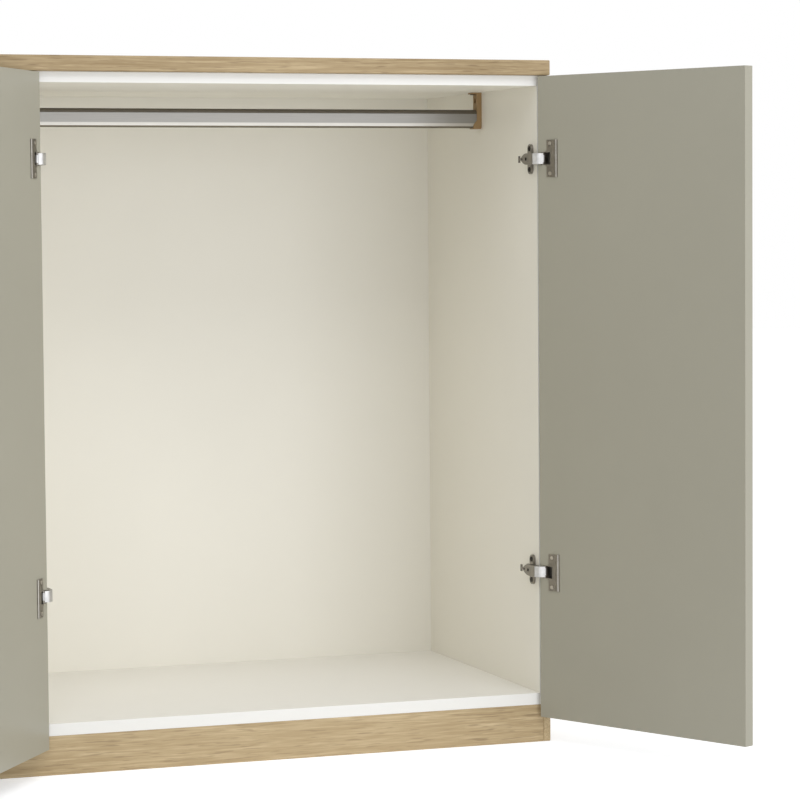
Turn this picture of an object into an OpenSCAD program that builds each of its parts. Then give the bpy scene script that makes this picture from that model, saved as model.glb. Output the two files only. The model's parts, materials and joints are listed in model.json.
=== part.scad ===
// Chest of drawers with a hanging bay: an oak top and an oak plinth carry three
// bays. The right bay has two hinged doors and a hanging rail, the middle one is
// an open niche with shelves and the left one holds four drawers.
// Millimetres, +Z up, front towards -Y. The origin is on the floor under the
// middle of the piece. The doors are drawn standing open.

/* [Overall] */
// Height from the floor to the top of the oak board
overall_height = 1050; // [950:5:1150]
// Depth of the three bays from their front plane to the rear edge
case_depth = 510; // [508:1:560]
// Clear width inside the hanging bay
hanging_clear_width = 779; // [740:1:800]
// Clear width of the open niche
niche_clear_width = 240; // [236:1:320]
// Clear width inside the drawer bay
drawer_clear_width = 369; // [330:1:450]

/* [Boards] */
// Thickness of the side panels
side_thickness = 18; // [17:0.5:20]
// Thickness of the boards closing each bay at the top
case_top_thickness = 16; // [15:0.5:19]
// Thickness of the boards closing each bay at the bottom
case_floor_thickness = 18; // [16:0.5:22]
// Thickness of the back panels
back_thickness = 8; // [5:0.5:9]
// Clear depth in front of the back panels
clear_depth = 492.5; // [485:0.5:493]
// How far the back panels reach into their grooves
back_groove_depth = 5; // [3:0.5:7]
// Thickness of the niche shelves
shelf_thickness = 18; // [16:0.5:22]
// How far the niche shelves stay behind the front plane
shelf_setback = 12; // [4:1:30]

/* [Oak top] */
// Thickness of the oak board
oak_thickness = 23; // [20:0.5:30]
// How far the oak board stands out at the front
oak_front_overhang = 10; // [4:0.5:16]
// Radius of the two front corners of the oak board
oak_corner_radius = 3; // [1:0.5:6]

/* [Plinth] */
// Height of the plinth
plinth_height = 58; // [50:1:80]
// Thickness of the plinth boards
plinth_board_thickness = 12; // [10:0.5:16]
// Thickness of the cross braces in the plinth
brace_thickness = 20; // [16:1:30]
// Distance from the rear edge of the bays to the back of the plinth
plinth_rear_setback = 18; // [5:1:40]

/* [Fronts] */
// Thickness of doors and drawer fronts
front_thickness = 17; // [16.5:0.25:18]
// How far a closed door covers the edge of its side panel
door_overlay = 13; // [12.8:0.1:13.2]
// Gap between a closed front and the front plane
front_gap = 2; // [1.9:0.05:2.2]
// Gap between the two closed doors
door_split_gap = 6; // [3:0.5:8]
// Gap between two drawer fronts
drawer_split_gap = 4; // [3:0.5:6]
// Gap between a front and the underside of the oak board
front_top_gap = 1.6; // [1.4:0.1:4]
// How far the fronts reach down over the plinth
front_drop = 17.6; // [10:0.2:24]
// Angle at which the left door stands open
left_door_rest_angle = 123.5; // [95:0.5:124]
// Angle at which the right door stands open
right_door_rest_angle = 116; // [95:0.5:124]

/* [Hinges] */
// Distance from the top of a door to the middle of its upper hinge
upper_hinge_distance = 125.4; // [90:0.2:180]
// Distance from the bottom of a door to the middle of its lower hinge
lower_hinge_distance = 225.6; // [140:0.2:280]
// Distance from the door edge to the middle of the cup
cup_centre_distance = 20.5; // [20.4:0.05:20.6]
// Outer diameter of the cup
cup_diameter = 35; // [34.8:0.1:35.2]
// Wall of the cup
cup_wall = 1; // [0.9:0.05:1.1]
// Depth of the hollow in the cup
cup_hollow_depth = 10.7; // [10.7:0.1:11.2]
// Height of the flange of the cup
cup_flange_height = 56.6; // [54:0.2:60]
// Thickness of the flange
cup_flange_thickness = 1.2; // [1:0.05:1.25]
// Distance between the two screws of a cup
cup_screw_spacing = 45.6; // [43:0.2:48]
// Radius of the hinge pins
pin_radius = 1.4; // [1.2:0.05:1.5]
// Running clearance round a hinge pin
pin_clearance = 0.05; // [0.02:0.01:0.1]
// Distance from the side panel to the pin in the arm
arm_pin_inset = 7.9; // [7.85:0.01:7.95]
// Distance from the front plane to the pin in the arm
arm_pin_reach = 8.4; // [8.35:0.01:8.45]
// Distance from the door edge to the pin in the cup
cup_pin_distance = 7.9; // [7.85:0.01:7.95]
// Depth of the pin in the cup below the door face
cup_pin_depth = 2.65; // [2.6:0.01:2.7]
// Radius of the bent link between the two pins
link_bend_radius = 7.2; // [7.15:0.01:7.25]
// Thickness of the link
link_thickness = 2.2; // [2:0.05:2.25]
// Share of the hinge turn made by the link at the arm
link_share = 0.29; // [0.288:0.001:0.292]
// Height of the hinge arm
arm_height = 17.4; // [17:0.1:19]
// Distance from the front plane to the tail of the arm
arm_tail_distance = 40; // [38:0.5:44]
// Distance from the front plane to the end of the release tab behind the arm
arm_tab_distance = 51.5; // [50:0.5:54]
// Distance from the front plane to the screw that clamps the arm
arm_screw_distance = 16.7; // [16:0.1:18]
// Height of the mounting plate over its wings
plate_height = 45.8; // [44:0.2:50]
// Depth of the wings of the mounting plate
plate_wing_depth = 15; // [13:0.5:16]
// Thickness of the mounting plate
plate_thickness = 4; // [3.8:0.1:4.1]
// Distance between the two screws of a mounting plate
plate_screw_spacing = 32; // [30:0.5:34]
// Distance from the front plane to the screws of a mounting plate
plate_screw_distance = 22; // [21:0.5:24]

/* [Hanging rail] */
// Distance from the closing board down to the underside of the rail
rail_drop = 56.8; // [54:0.2:90]
// Height of the rail section without its cap
rail_section_height = 22.6; // [20:0.2:24]
// Thickness of the cap on the rail
rail_cap_thickness = 6.5; // [4:0.1:7]
// Depth of the rail section
rail_section_depth = 15; // [14:0.5:18]
// Wall of the rail tube
rail_wall = 1.5; // [1:0.1:2]
// Distance from the front plane to the middle of the rail
rail_setback = 245; // [200:1:300]
// Clearance between the ends of the rail and the side panels
rail_end_clearance = 4; // [2:0.5:5]
// Wall of a rail bracket in front of the rail and behind it
bracket_cheek = 1.5; // [1.2:0.1:3]
// How far a rail bracket stands off its side panel
bracket_width = 8; // [7.5:0.1:10]
// How far the ceiling flange of a bracket reaches beyond the bracket
bracket_flange_overhang = 8.5; // [8.2:0.1:12]
// How far the socket below the rail reaches beyond the bracket
bracket_socket_overhang = 6; // [3:0.5:10]
// Height of the socket before it slopes back
bracket_socket_height = 6; // [4:0.5:10]
// Thickness of the socket below the rail
bracket_floor = 1.3; // [1:0.1:3]
// Thickness of the ceiling flange of a bracket
bracket_flange_thickness = 2.5; // [2:0.1:3]

/* [Drawers] */
// Space behind the drawer boxes
drawer_rear_clearance = 44.5; // [30:0.5:90]
// Distance from the top of a drawer box to the top of its front
drawer_box_drop = 29; // [22:1:60]
// Thickness of the sides and backs of the drawer boxes
drawer_board_thickness = 12; // [10:0.5:15]
// Thickness of the drawer bottoms
drawer_bottom_thickness = 6; // [4:0.5:8]
// Depth of the grooves that hold a drawer bottom
drawer_groove_depth = 5; // [3:0.5:6]
// Height of a drawer bottom above the lower edge of the box
drawer_bottom_lift = 10; // [8:1:16]
// Distance from the lower edge of a front to the box behind it
drawer_box_lift = 44; // [42:0.5:50]
// Space for a runner on each side of a drawer box
runner_space = 12.7; // [12.5:0.1:13.5]
// Height of the runner fixed to the case
runner_height = 45; // [38:1:50]
// Sheet thickness of the runners
runner_sheet = 1.5; // [1.2:0.1:2]
// Clearance between the two members of a runner
runner_clearance = 0.5; // [0.4:0.05:0.8]
// Distance from the front plane to the runners
runner_setback = 4; // [2:0.5:8]
// Distance from the ends of a runner to its screws
runner_screw_margin = 56; // [30:1:120]

/* [Screws] */
// Shank radius of the case screws
case_screw_radius = 3.1; // [2.9:0.05:3.3]
// Head radius of the case screws
case_screw_head_radius = 3.9; // [3.6:0.1:4.2]
// Thickness of a case screw head
case_screw_head = 1.2; // [1:0.1:1.5]
// Length of a case screw below its head
case_screw_length = 13; // [12:0.5:14]
// Length of the screws that hold the oak board
top_screw_length = 26; // [22:1:30]
// Distance from the walls of a bay to the screws of the oak board
top_screw_side_margin = 65; // [50:1:90]
// Distance from the front plane and from the back panels to these screws
top_screw_end_margin = 70; // [50:1:120]

/* [Hidden] */
$fn = 48;
carcass_bottom = plinth_height;
carcass_top = overall_height - oak_thickness;
inner_bottom = carcass_bottom + case_floor_thickness;
inner_top = carcass_top - case_top_thickness;
hanging_width = hanging_clear_width + 2 * side_thickness;
drawer_case_width = drawer_clear_width + 2 * side_thickness;
total_width = hanging_width + niche_clear_width + drawer_case_width;
right_end = total_width / 2;
left_end = -total_width / 2;
front_y = -case_depth / 2;
rear_y = case_depth / 2;
back_y = front_y + clear_depth;
hang_right = right_end - side_thickness;
hang_left = hang_right - hanging_clear_width;
drawer_left = left_end + side_thickness;
drawer_right = drawer_left + drawer_clear_width;
niche_right = hang_left - side_thickness;
niche_left = drawer_right + side_thickness;
fronts_bottom = plinth_height - front_drop;
fronts_top = carcass_top - front_top_gap;
door_width = (hanging_clear_width + 2 * door_overlay - door_split_gap) / 2;
shelf_pitch = (inner_top - inner_bottom - 2 * shelf_thickness) / 3 + shelf_thickness;

// Hinge positions in the plan of one side: u runs into the side panel and v runs
// back from the front plane.
pin_a = [-arm_pin_inset, -arm_pin_reach];
pin_b_closed = [door_overlay - cup_pin_distance, -front_gap - cup_pin_depth];
link_length = norm(pin_b_closed - pin_a);
link_angle_closed = atan2(pin_b_closed[1] - pin_a[1], pin_b_closed[0] - pin_a[0]);
link_rise = sqrt(link_bend_radius * link_bend_radius - link_length * link_length / 4);
link_half_span = asin(link_length / 2 / link_bend_radius);
link_narrow_height = 11.2;
link_wide_height = 16.4;
link_gap = 0.15;
eye_radius = 2.6;
arm_ear_radius = 2.6;
cup_ear_radius = 2.3;
arm_curl = 1.15;
cup_curl = 1;
curl_clearance = 0.25;
arm_seat = 0.5;
arm_base = arm_seat - plate_thickness;
arm_face = pin_a[0] - 4;
arm_bend = 15;
arm_sheet = 1.2;
arm_screw_radius = 2.5;
arm_screw_head_radius = 4;
arm_screw_head_end = 4;
arm_slot_length = 6;
arm_slot_height = 4.4;
arm_hole_radius = 1.9;
tab_depth = 5;
tab_height = 10.4;
hinge_heights = [fronts_bottom + lower_hinge_distance, fronts_top - upper_hinge_distance];
cup_depth = cup_hollow_depth + cup_wall;
cup_u = door_overlay - cup_centre_distance;
cup_screw_u = door_overlay - 25.3;
cup_screw_radius = 1.9;
cup_screw_length = 12;
cup_screw_head_radius = 3;
cup_screw_sink = 0.6;
cup_well = 18.4;
flange_edge = 18.5;
flange_depth = 21.5;
rib_distance = 17.7;

rail_y = front_y + rail_setback;
rail_bottom = inner_top - rail_drop;
rail_section_top = rail_bottom + rail_section_height;
rail_top = rail_section_top + rail_cap_thickness;
bracket_depth = rail_section_depth + 2 * bracket_cheek;
bracket_bottom = rail_bottom - bracket_floor;
bracket_screw_drop = 13;

drawer_count = 4;
drawer_front_height = (fronts_top - fronts_bottom - (drawer_count - 1) * drawer_split_gap) / drawer_count;
drawer_pitch = drawer_front_height + drawer_split_gap;
drawer_front_margin = side_thickness - door_overlay;
box_left = drawer_left + runner_space;
box_right = drawer_right - runner_space;
box_front_y = front_y - front_gap;
drawer_box_height = drawer_front_height - drawer_box_lift - drawer_box_drop;
drawer_box_length = clear_depth + front_gap - drawer_rear_clearance;
runner_front_y = front_y + runner_setback;
runner_length = drawer_box_length - front_gap - 2 * runner_setback;
runner_member = runner_height - 2 * runner_sheet - 2 * runner_clearance;

oak_colour = [0.70, 0.61, 0.46];
lacquer = [0.65, 0.63, 0.56];
white_board = [0.80, 0.78, 0.72];
niche_oak = [0.68, 0.59, 0.44];
nickel = [0.50, 0.47, 0.43];
bright_nickel = [0.72, 0.70, 0.66];
zinc = [0.66, 0.67, 0.68];
rail_grey = [0.46, 0.46, 0.46];
dark_brown = [0.13, 0.10, 0.08];
drawer_wood = [0.78, 0.70, 0.55];

// A board given by its lower and upper corner.
module board(low, high) {
    translate(low) cube(high - low);
}

// Puts a shape drawn in the plan of one side at the right wall of the hanging bay.
module at_right() {
    translate([hang_right, front_y, 0]) children();
}

// The same at the left wall, mirrored.
module at_left() {
    translate([hang_left, front_y, 0]) mirror([1, 0, 0]) children();
}

// Turns a shape with the link round the arm pin, for a door open by the angle.
module with_link(angle) {
    turn = link_angle_closed - link_share * angle / (1 - link_share);
    translate([pin_a[0], pin_a[1], 0]) rotate([0, 0, turn]) children();
}

// Moves a shape drawn on the closed door to where the open door has it.
module with_door(angle) {
    turn = link_angle_closed - link_share * angle / (1 - link_share);
    translate([pin_a[0] + link_length * cos(turn), pin_a[1] + link_length * sin(turn), 0])
        rotate([0, 0, angle])
        translate([-pin_b_closed[0], -pin_b_closed[1], 0])
        children();
}

// A round bar or hole along Y, from y0 to y1.
module bar_y(x, z, y0, y1, radius) {
    translate([x, y1, z]) rotate([90, 0, 0]) cylinder(h = y1 - y0, r = radius);
}

// A round bar or hole along X, from x0 to x1.
module bar_x(y, z, x0, x1, radius) {
    translate([x0, y, z]) rotate([0, 90, 0]) cylinder(h = x1 - x0, r = radius);
}

// The groove of a back panel, cut out of the boards round it.
module back_room(x0, x1) {
    g = back_groove_depth;
    board([x0 - g, back_y, inner_bottom - g], [x1 + g, back_y + back_thickness, inner_top + g]);
}

module case_side(x0, room_left, room_right) {
    difference() {
        board([x0, front_y, carcass_bottom], [x0 + side_thickness, rear_y, carcass_top]);
        back_room(room_left, room_right);
        children();
    }
}

module case_top(x0, x1) {
    difference() {
        board([x0, front_y, inner_top], [x1, rear_y, carcass_top]);
        back_room(x0, x1);
        top_screw_holes();
    }
}

module case_floor(x0, x1) {
    difference() {
        board([x0, front_y, carcass_bottom], [x1, rear_y, inner_bottom]);
        back_room(x0, x1);
    }
}

// Case screws. One lies along +X with the underside of its head at the origin.
module case_screw() {
    case_screw_hole();
    difference() {
        bar_x(0, 0, -case_screw_head, 0, case_screw_head_radius);
        board([-case_screw_head - 1, -0.6, -2.5], [0, 0.6, 2.5]);
        board([-case_screw_head - 1, -2.5, -0.6], [0, 2.5, 0.6]);
    }
}

module case_screw_hole() {
    bar_x(0, 0, 0, case_screw_length, case_screw_radius);
}

// Places of the screws through the mounting plates, in the plan of one side.
module at_plate_screws() {
    for (z = hinge_heights)
        for (side = [-1, 1])
            translate([-plate_thickness, plate_screw_distance, z + side * plate_screw_spacing / 2]) children();
}

// Places of the screws that hold the rail brackets.
module at_bracket_screws() {
    flange_middle = bracket_width + bracket_flange_overhang / 2;
    translate([-3, rail_setback, inner_top - bracket_screw_drop]) children();
    translate([-flange_middle, rail_setback, inner_top - bracket_flange_thickness])
        rotate([0, -90, 0])
        children();
}

// Places of the screws in the runners on the left wall of the drawer bay.
module at_runner_screws() {
    for (i = [0:drawer_count - 1])
        for (y = [runner_setback + runner_screw_margin, runner_setback + runner_length - runner_screw_margin])
            translate([runner_sheet, y, drawer_runner_height(i)]) rotate([0, 0, 180]) children();
}

module at_drawer_left() {
    translate([drawer_left, front_y, 0]) children();
}

module at_drawer_right() {
    translate([drawer_right, front_y, 0]) mirror([1, 0, 0]) children();
}

module case_screws() {
    color(zinc) {
        at_right() at_plate_screws() case_screw();
        at_left() at_plate_screws() case_screw();
        at_right() at_bracket_screws() case_screw();
        at_left() at_bracket_screws() case_screw();
        at_drawer_left() at_runner_screws() case_screw();
        at_drawer_right() at_runner_screws() case_screw();
    }
}

// Screws that hold the oak board, driven up through the tops of the two cases.
top_screw_xs = [
    drawer_left + top_screw_side_margin,
    drawer_right - top_screw_side_margin,
    hang_left + top_screw_side_margin,
    (hang_left + hang_right) / 2,
    hang_right - top_screw_side_margin
];
top_screw_ys = [front_y + top_screw_end_margin, back_y - top_screw_end_margin];

module at_top_screws() {
    for (x = top_screw_xs)
        for (y = top_screw_ys)
            translate([x, y, inner_top + 3]) children();
}

module top_screw_holes() {
    at_top_screws() {
        cylinder(h = top_screw_length, r = 2.5);
        translate([0, 0, -10]) cylinder(h = 10, r = 5);
    }
}

module top_screws() {
    color(zinc) at_top_screws() {
        cylinder(h = top_screw_length, r = 2.5);
        difference() {
            translate([0, 0, -2]) cylinder(h = 2, r = 4.6);
            translate([-2.6, -0.6, -3]) cube([5.2, 1.2, 1.8]);
            translate([-0.6, -2.6, -3]) cube([1.2, 5.2, 1.8]);
        }
    }
}

module oak_top() {
    r = oak_corner_radius;
    y0 = front_y - oak_front_overhang;
    color(oak_colour) difference() {
        union() {
            board([left_end, y0 + r, carcass_top], [right_end, rear_y, overall_height]);
            board([left_end + r, y0, carcass_top], [right_end - r, y0 + r, overall_height]);
            for (x = [left_end + r, right_end - r])
                translate([x, y0 + r, carcass_top]) cylinder(h = oak_thickness, r = r);
        }
        top_screw_holes();
    }
}

module hanging_side_right() {
    color(white_board) case_side(hang_right, hang_left, hang_right) {
        at_right() at_plate_screws() case_screw_hole();
        at_right() at_bracket_screws() case_screw_hole();
    }
}

module hanging_side_left() {
    color(white_board) case_side(niche_right, hang_left, hang_right) {
        back_room(niche_left, niche_right);
        at_left() at_plate_screws() case_screw_hole();
        at_left() at_bracket_screws() case_screw_hole();
    }
}

module hanging_top() {
    color(white_board) difference() {
        case_top(hang_left, hang_right);
        at_right() at_bracket_screws() case_screw_hole();
        at_left() at_bracket_screws() case_screw_hole();
    }
}

module hanging_floor() {
    color(white_board) case_floor(hang_left, hang_right);
}

module hanging_back() {
    color(white_board) back_room(hang_left, hang_right);
}

module drawer_case_left() {
    color(white_board) case_side(left_end, drawer_left, drawer_right)
        at_drawer_left() at_runner_screws() case_screw_hole();
}

module drawer_case_right() {
    color(white_board) case_side(drawer_right, drawer_left, drawer_right) {
        back_room(niche_left, niche_right);
        at_drawer_right() at_runner_screws() case_screw_hole();
    }
}

module drawer_case_top() {
    color(white_board) case_top(drawer_left, drawer_right);
}

module drawer_case_floor() {
    color(white_board) case_floor(drawer_left, drawer_right);
}

module drawer_case_back() {
    color(white_board) back_room(drawer_left, drawer_right);
}

module niche_top() {
    color(niche_oak) case_top(niche_left, niche_right);
}

module niche_floor() {
    color(niche_oak) case_floor(niche_left, niche_right);
}

module niche_back() {
    color(niche_oak) back_room(niche_left, niche_right);
}

module niche_shelves() {
    color(niche_oak) for (i = [1, 2]) {
        z = inner_bottom + i * shelf_pitch - shelf_thickness;
        board([niche_left, front_y + shelf_setback, z], [niche_right, back_y, z + shelf_thickness]);
    }
}

module plinth_front() {
    t = plinth_board_thickness;
    color(oak_colour) board([left_end + t, front_y, 0], [right_end - t, front_y + t, plinth_height]);
}

module plinth_back() {
    t = plinth_board_thickness;
    y1 = rear_y - plinth_rear_setback;
    color(oak_colour) board([left_end + t, y1 - t, 0], [right_end - t, y1, plinth_height]);
}

module plinth_end(x0) {
    y1 = rear_y - plinth_rear_setback;
    color(oak_colour) board([x0, front_y, 0], [x0 + plinth_board_thickness, y1, plinth_height]);
}

module plinth_end_left() {
    plinth_end(left_end);
}

module plinth_end_right() {
    plinth_end(right_end - plinth_board_thickness);
}

// Cross braces: one under the inner side of the drawer bay, one in the middle and
// one under the hanging bay, a little to the right of its middle.
brace_offset = 60;
brace_xs = [drawer_right + side_thickness / 2, 0, (hang_left + right_end) / 2 + brace_offset];

module plinth_braces() {
    y0 = front_y + plinth_board_thickness;
    y1 = rear_y - plinth_rear_setback - plinth_board_thickness;
    color(drawer_wood) for (x = brace_xs)
        board([x - brace_thickness / 2, y0, 0], [x + brace_thickness / 2, y1, plinth_height]);
}

// The rail outline in Y and Z, drawn as a bar along X.
module rail_bar(x0, x1, z0, z1, depth, r) {
    for (y = [-1, 1])
        for (z = [z0 + r, z1 - r])
            bar_x(rail_y + y * (depth / 2 - r), z, x0, x1, r);
    board([x0, rail_y - depth / 2, z0 + r], [x1, rail_y + depth / 2, z1 - r]);
    board([x0, rail_y - depth / 2 + r, z0], [x1, rail_y + depth / 2 - r, z1]);
}

rail_x0 = hang_left + rail_end_clearance;
rail_x1 = hang_right - rail_end_clearance;
rail_round = 4;

module rail_envelope() {
    rail_bar(rail_x0, rail_x1, rail_bottom, rail_top, rail_section_depth, rail_round);
}

// The space above the tube of the rail, which the cap fills.
module rail_cap_space() {
    d = rail_section_depth;
    board([rail_x0 - 1, rail_y - d, rail_section_top], [rail_x1 + 1, rail_y + d, rail_top + 1]);
}

module hanging_rail() {
    w = rail_wall;
    z0 = rail_bottom + w;
    z1 = rail_section_top - w;
    color(rail_grey) difference() {
        rail_envelope();
        rail_cap_space();
        rail_bar(rail_x0 - 1, rail_x1 + 1, z0, z1, rail_section_depth - 2 * w, rail_round - w);
    }
}

module rail_cap() {
    color(dark_brown) intersection() {
        rail_envelope();
        rail_cap_space();
    }
}

// A bracket: a column on the side panel with a flange under the closing board, and
// a socket round the end of the rail that slopes back to the column.
module rail_bracket() {
    w = bracket_width;
    lip = bracket_width + bracket_socket_overhang;
    z0 = bracket_bottom;
    z1 = z0 + bracket_socket_height;
    reach = bracket_width + bracket_flange_overhang;
    difference() {
        translate([0, rail_setback + bracket_depth / 2, 0])
            rotate([90, 0, 0])
            linear_extrude(height = bracket_depth)
            polygon([
                [0, inner_top],
                [-reach, inner_top],
                [-reach, inner_top - bracket_flange_thickness],
                [-w, inner_top - bracket_flange_thickness],
                [-w, z1 + 1.3 * bracket_socket_overhang],
                [-lip, z1],
                [-lip, z0],
                [-1.2, z0],
                [0, z0 + 4]
            ]);
        at_bracket_screws() case_screw_hole();
        bar_x(rail_setback, inner_top - bracket_screw_drop, -w - 1, -3, case_screw_head_radius + 0.4);
    }
}

module rail_brackets() {
    color(dark_brown) {
        difference() {
            at_right() rail_bracket();
            rail_envelope();
        }
        difference() {
            at_left() rail_bracket();
            rail_envelope();
        }
    }
}

// Mounting plate of a hinge, flat on the side panel: a spine under the arm and a
// wing with a rounded end for each screw.
module hinge_plate() {
    h = arm_height / 2 + 0.1;
    r = plate_wing_depth / 2;
    v = plate_screw_distance;
    wing = plate_height / 2 - r;
    difference() {
        union() {
            board([-plate_thickness, v - r, -wing], [0, v + r, wing]);
            for (side = [-1, 1])
                bar_x(v, side * wing, -plate_thickness, 0, r);
            board([arm_base, 3, -6.5], [0, arm_tail_distance + 3, 6.5]);
        }
        board([-plate_thickness - 1, arm_bend - 5, -h], [arm_base, arm_tail_distance - 5, h]);
        for (side = [-1, 1])
            translate([-plate_thickness, v, side * plate_screw_spacing / 2]) case_screw_hole();
        bar_x(arm_screw_distance, 0, -plate_thickness - 1, 1, arm_screw_radius);
    }
}

module hinge_plates() {
    color(nickel) for (z = hinge_heights) {
        at_right() translate([0, 0, z]) hinge_plate();
        at_left() translate([0, 0, z]) hinge_plate();
    }
}

// Hinge arm: two ears hold the front pin, the tail runs back in a pointed arch to
// the release tab. A slot over the clamping screw lets a screwdriver in.
module hinge_arm() {
    h = arm_height / 2;
    d = arm_tail_distance - arm_bend;
    big = (d * d + h * h) / (2 * h);
    gap = link_narrow_height / 2 + link_gap;
    v = arm_screw_distance;
    tab = arm_tab_distance;
    difference() {
        union() {
            board([arm_face, pin_a[1], -h], [arm_base, arm_bend, h]);
            translate([pin_a[0], pin_a[1], -h]) cylinder(h = arm_height, r = arm_ear_radius);
            intersection() {
                board([arm_face, arm_bend, -h], [arm_base, arm_tail_distance, h]);
                bar_x(arm_bend, big - h, arm_face, arm_base, big);
                bar_x(arm_bend, h - big, arm_face, arm_base, big);
            }
            board([arm_face + 1, arm_tail_distance - 3, -1.7], [arm_face + 3, tab, 1.7]);
            board([arm_face + 1, tab - tab_depth, -tab_height / 2], [arm_face + 3, tab, tab_height / 2]);
        }
        board([arm_face + arm_sheet, pin_a[1] - 5, -gap], [arm_base + 1, pin_a[1] + 3, gap]);
        translate([pin_a[0], pin_a[1], -h - 1]) cylinder(h = arm_height + 2, r = pin_radius + pin_clearance);
        bar_x(v, 0, arm_face + arm_sheet, arm_base + 1, arm_screw_radius);
        bar_x(v, 0, arm_face + arm_sheet, arm_face + arm_screw_head_end, arm_screw_head_radius + 0.3);
        board(
            [arm_face - 1, v - arm_slot_length / 2, -arm_slot_height / 2],
            [arm_face + arm_sheet + 0.1, v + arm_slot_length / 2, arm_slot_height / 2]);
        bar_x(arm_tail_distance - 7, 0, arm_face - 1, arm_face + 3, arm_hole_radius);
    }
}

module hinge_arms_left() {
    color(nickel) for (z = hinge_heights)
        at_left() translate([0, 0, z]) hinge_arm();
}

module hinge_arms_right() {
    color(nickel) for (z = hinge_heights)
        at_right() translate([0, 0, z]) hinge_arm();
}

// Screws that clamp the arms on their plates. The head lies under the arm's sheet.
module arm_screw() {
    v = arm_screw_distance;
    x0 = arm_face + arm_sheet + 0.3;
    difference() {
        bar_x(v, 0, x0, arm_face + arm_screw_head_end, arm_screw_head_radius);
        board([x0 - 1, v - 0.6, -2.8], [x0 + 1.2, v + 0.6, 2.8]);
        board([x0 - 1, v - 2.8, -0.6], [x0 + 1.2, v + 2.8, 0.6]);
    }
    bar_x(v, 0, arm_face + arm_screw_head_end, 0, arm_screw_radius);
}

module arm_screws() {
    color(zinc) for (z = hinge_heights) {
        at_right() translate([0, 0, z]) arm_screw();
        at_left() translate([0, 0, z]) arm_screw();
    }
}

// Bent link between the pins, in a plan with the arm pin at the origin and the
// cup pin on the X axis.
module link_strip(height) {
    r = link_bend_radius;
    t = link_thickness;
    reach = 3 * r;
    intersection() {
        translate([link_length / 2, link_rise, -height / 2]) difference() {
            cylinder(h = height, r = r + t / 2);
            translate([0, 0, -1]) cylinder(h = height + 2, r = r - t / 2);
        }
        translate([link_length / 2, link_rise, -height / 2]) linear_extrude(height = height)
            polygon([
                [0, 0],
                [-reach * sin(link_half_span), -reach * cos(link_half_span)],
                [-reach, -2 * reach],
                [reach, -2 * reach],
                [reach * sin(link_half_span), -reach * cos(link_half_span)]
            ]);
    }
}

// A wedge of a round bar along Z, between two angles.
module wedge(radius, from, to, height) {
    reach = 3 * radius;
    translate([0, 0, -height / 2]) intersection() {
        cylinder(h = height, r = radius);
        linear_extrude(height = height)
            polygon([[0, 0], [reach * cos(from), reach * sin(from)], [reach * cos(to), reach * sin(to)]]);
    }
}

// The link: a bent strip that curls round the ears of the arm and of the cup, with
// an eye for each pin between them.
module hinge_link() {
    n = link_narrow_height;
    w = link_wide_height;
    difference() {
        union() {
            difference() {
                union() {
                    link_strip(w);
                    wedge(arm_ear_radius + arm_curl, -140, -68, w);
                    translate([link_length, 0, 0]) wedge(cup_ear_radius + cup_curl, -112, -85, w);
                }
                for (side = [0, 1]) mirror([0, 0, side]) translate([0, 0, n / 2]) {
                    cylinder(h = w, r = arm_ear_radius + curl_clearance);
                    translate([link_length, 0, 0]) cylinder(h = w, r = cup_ear_radius + curl_clearance);
                }
            }
            for (x = [0, link_length])
                translate([x, 0, -n / 2]) cylinder(h = n, r = eye_radius);
        }
        for (x = [0, link_length])
            translate([x, 0, -n / 2 - 1]) cylinder(h = n + 2, r = pin_radius);
    }
}

module hinge_links_left() {
    color(bright_nickel) for (z = hinge_heights)
        at_left() with_link(left_door_rest_angle) translate([0, 0, z]) hinge_link();
}

module hinge_links_right() {
    color(bright_nickel) for (z = hinge_heights)
        at_right() with_link(right_door_rest_angle) translate([0, 0, z]) hinge_link();
}

// The two pins of a hinge, tight in the link and free in the arm and the cup.
module hinge_pin_pair() {
    translate([0, 0, -arm_height / 2]) cylinder(h = arm_height, r = pin_radius);
    translate([link_length, 0, -8.6]) cylinder(h = 17.2, r = pin_radius);
}

module hinge_pins_left() {
    color(bright_nickel) for (z = hinge_heights)
        at_left() with_link(left_door_rest_angle) translate([0, 0, z]) hinge_pin_pair();
}

module hinge_pins_right() {
    color(bright_nickel) for (z = hinge_heights)
        at_right() with_link(right_door_rest_angle) translate([0, 0, z]) hinge_pin_pair();
}

// The space of a cup in its door, up to the given depth: round below the flange,
// and no higher than its well from there to the door's edge.
module cup_space(top) {
    y0 = -front_gap - cup_depth;
    r = cup_diameter / 2;
    edge = door_overlay - flange_edge;
    rim = cup_well / 2 + cup_wall;
    intersection() {
        bar_y(cup_u, 0, y0, top, r);
        union() {
            board([cup_u - r - 1, y0, -r], [edge, top, r]);
            board([edge, y0, -rim], [cup_u + r + 1, top, rim]);
        }
    }
}

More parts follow.
